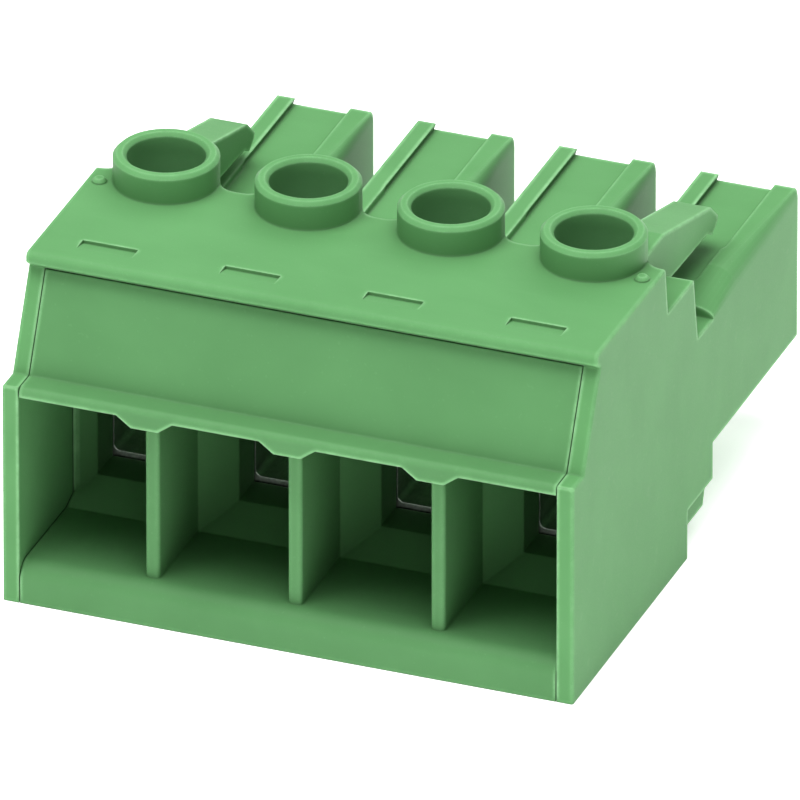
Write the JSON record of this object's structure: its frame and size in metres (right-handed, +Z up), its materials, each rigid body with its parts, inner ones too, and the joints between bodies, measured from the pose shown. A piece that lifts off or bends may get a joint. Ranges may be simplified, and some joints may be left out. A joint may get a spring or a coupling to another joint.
{
  "type": "pluggable terminal block",
  "caption": "Moulded plug for a pin header: wire entries in front, screw clamps under round collars, contact prongs at the rear and latch arms above them.",
  "frame": {"origin": "centre of the bottom of the bounding box", "axes": "+X along the row of poles to the right seen from the wire side, +Y from the wire side to the pin side, +Z up"},
  "size_m": [0.0304, 0.032, 0.0196],
  "materials": {
    "green_plastic": "fine satin moulded nylon",
    "green_plastic_insert": "fine satin moulded nylon",
    "cage_metal": "plated sheet",
    "screw_metal": "zinc plated, turned",
    "contact_metal": "tin plated copper alloy",
    "spring_metal": "bare spring steel"
  },
  "bodies": {
    "shell": {"housing": "green_plastic", "entry_insert": "green_plastic_insert", "contact_bar_1": "contact_metal", "contact_spring_1": "spring_metal", "contact_bar_2": "contact_metal", "contact_spring_2": "spring_metal", "contact_bar_3": "contact_metal", "contact_spring_3": "spring_metal", "contact_bar_4": "contact_metal", "contact_spring_4": "spring_metal"},
    "screw_1": {"clamp_screw_1": "screw_metal"},
    "cage_1": {"clamp_cage_1": "cage_metal"},
    "screw_2": {"clamp_screw_2": "screw_metal"},
    "cage_2": {"clamp_cage_2": "cage_metal"},
    "screw_3": {"clamp_screw_3": "screw_metal"},
    "cage_3": {"clamp_cage_3": "cage_metal"},
    "screw_4": {"clamp_screw_4": "screw_metal"},
    "cage_4": {"clamp_cage_4": "cage_metal"}
  },
  "joints": [
    {"name": "screw_turn_1", "type": "hinge", "parent": "shell", "child": "screw_1", "pos_m": [-0.01143, -0.00305, 0.015], "axis": [0, 0, -1], "range_deg": [0, 2880]},
    {"name": "cage_rise_1", "type": "slide", "parent": "shell", "child": "cage_1", "axis": [0, 0, 1], "range_m": [0, 0.004]},
    {"name": "screw_turn_2", "type": "hinge", "parent": "shell", "child": "screw_2", "pos_m": [-0.00381, -0.00305, 0.015], "axis": [0, 0, -1], "range_deg": [0, 2880]},
    {"name": "cage_rise_2", "type": "slide", "parent": "shell", "child": "cage_2", "axis": [0, 0, 1], "range_m": [0, 0.004]},
    {"name": "screw_turn_3", "type": "hinge", "parent": "shell", "child": "screw_3", "pos_m": [0.00381, -0.00305, 0.015], "axis": [0, 0, -1], "range_deg": [0, 2880]},
    {"name": "cage_rise_3", "type": "slide", "parent": "shell", "child": "cage_3", "axis": [0, 0, 1], "range_m": [0, 0.004]},
    {"name": "screw_turn_4", "type": "hinge", "parent": "shell", "child": "screw_4", "pos_m": [0.01143, -0.00305, 0.015], "axis": [0, 0, -1], "range_deg": [0, 2880]},
    {"name": "cage_rise_4", "type": "slide", "parent": "shell", "child": "cage_4", "axis": [0, 0, 1], "range_m": [0, 0.004]}
  ],
  "couplings": [
    {"joint": "screw_turn_1", "follows": "cage_rise_1", "rad_per_m": 12566},
    {"joint": "screw_turn_2", "follows": "cage_rise_2", "rad_per_m": 12566},
    {"joint": "screw_turn_3", "follows": "cage_rise_3", "rad_per_m": 12566},
    {"joint": "screw_turn_4", "follows": "cage_rise_4", "rad_per_m": 12566}
  ]
}
